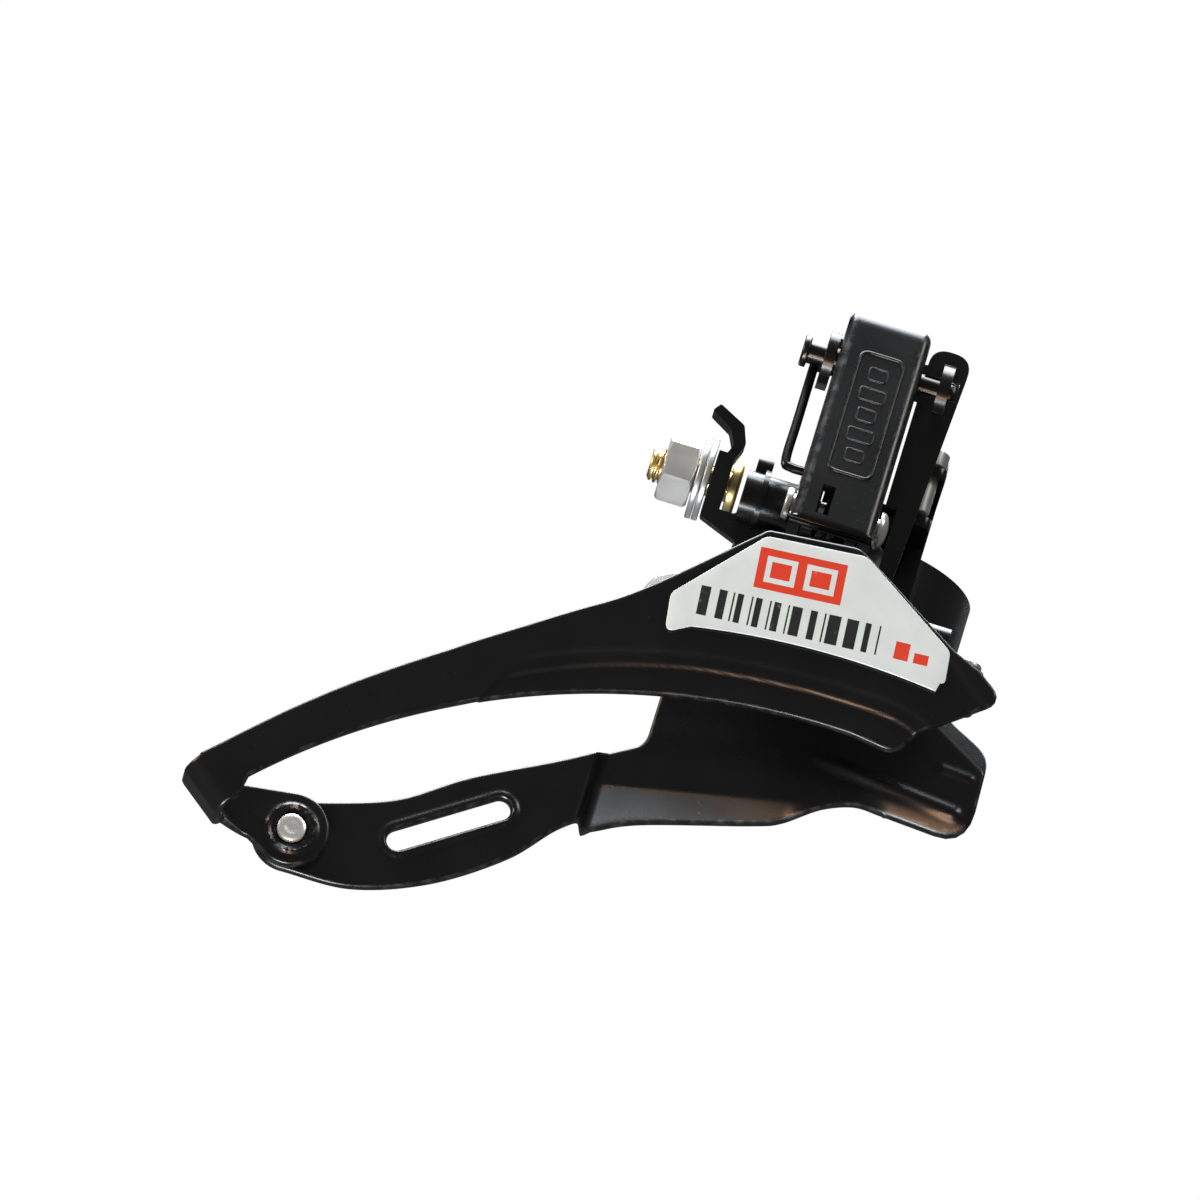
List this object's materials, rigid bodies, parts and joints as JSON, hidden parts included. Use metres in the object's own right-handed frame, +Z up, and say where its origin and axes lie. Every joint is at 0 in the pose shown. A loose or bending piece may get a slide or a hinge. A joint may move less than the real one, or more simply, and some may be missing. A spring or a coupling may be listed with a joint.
{
  "type": "front derailleur",
  "caption": "Top-swing front derailleur with a tube clamp, a sprung parallelogram of two links and a pressed steel chain cage.",
  "frame": {"origin": "centre of the seat tube clamp, on the tube's axis and half way up the band", "axes": "+Z up the seat tube, +X to the front of the bicycle, -Y outboard to the chain side"},
  "size_m": [0.0987, 0.0615, 0.097],
  "materials": {
    "black_satin": "satin black stoved paint over pressed steel",
    "bright_pin": "bright plated steel",
    "zinc_plated": "clear zinc plate",
    "yellow_zinc": "yellow passivated zinc plate on steel",
    "printed_film": "silver-white printed polyester film"
  },
  "bodies": {
    "body": {"clamp_saddle": "black_satin", "fixed_body": "black_satin", "body_rivet_1": "zinc_plated", "body_rivet_2": "zinc_plated", "clamp_hinge_pin": "zinc_plated", "pin_outer_low": "bright_pin", "pin_inner_low": "bright_pin"},
    "strap": {"clamp_strap": "black_satin", "clamp_washer": "zinc_plated", "clamp_nut": "zinc_plated"},
    "clamp_bolt": {"clamp_bolt": "zinc_plated"},
    "outer_link": {"outer_link": "black_satin", "return_spring": "black_satin"},
    "inner_link": {"inner_link": "black_satin", "anchor_bolt": "yellow_zinc", "anchor_washer_1": "zinc_plated", "anchor_washer_2": "zinc_plated"},
    "anchor_nut": {"anchor_nut": "bright_pin"},
    "cage": {"cage_carrier": "black_satin", "pin_outer_up": "black_satin", "pin_inner_up": "black_satin", "cage_outer_plate": "black_satin", "cage_inner_plate": "black_satin", "cage_bridge": "black_satin", "rivet_outer_plate_1": "zinc_plated", "rivet_outer_plate_2": "zinc_plated", "rivet_inner_plate_1": "zinc_plated", "rivet_inner_plate_2": "zinc_plated", "rivet_carrier_1": "zinc_plated", "rivet_carrier_2": "zinc_plated", "tail_rivet": "bright_pin", "label": "printed_film"},
    "limit_screw_low": {"limit_screw_low": "zinc_plated"},
    "limit_screw_high": {"limit_screw_high": "zinc_plated"}
  },
  "joints": [
    {"name": "link_swing", "type": "hinge", "parent": "body", "child": "outer_link", "pos_m": [0, -0.035, 0.001], "axis": [1, 0, 0], "range_deg": [0, 40], "stiffness_Nm_per_rad": 0.45, "springref_deg": -40.11, "deforming": ["return_spring"]},
    {"name": "inner_link_swing", "type": "hinge", "parent": "body", "child": "inner_link", "pos_m": [0, -0.025, 0.004], "axis": [1, 0, 0], "range_deg": [0, 40]},
    {"name": "cage_swing", "type": "hinge", "parent": "outer_link", "child": "cage", "pos_m": [0, -0.03, 0.0236], "axis": [1, 0, 0], "range_deg": [-40, 0]},
    {"name": "strap_draw", "type": "hinge", "parent": "body", "child": "strap", "pos_m": [0.0179, 0, -0.00385], "axis": [0, 0, 1], "range_deg": [0, 2.2]},
    {"name": "clamp_bolt_turn", "type": "hinge", "parent": "body", "child": "clamp_bolt", "pos_m": [-0.01936, 0.00705, -0.00335], "axis": [-0.342, -0.9397, 0], "continuous": true},
    {"name": "anchor_nut_turn", "type": "hinge", "parent": "inner_link", "child": "anchor_nut", "pos_m": [-0.0254, -0.012, 0.0093], "axis": [-1, 0, 0], "continuous": true},
    {"name": "limit_screw_low_turn", "type": "hinge", "parent": "body", "child": "limit_screw_low", "pos_m": [0.0056, -0.0271, 0.014], "axis": [0, 0, 1], "continuous": true},
    {"name": "limit_screw_high_turn", "type": "hinge", "parent": "body", "child": "limit_screw_high", "pos_m": [0.0056, -0.0224, 0.014], "axis": [0, 0, 1], "continuous": true}
  ],
  "couplings": [
    {"joint": "inner_link_swing", "follows": "link_swing", "ratio": 1},
    {"joint": "cage_swing", "follows": "link_swing", "ratio": -1}
  ]
}
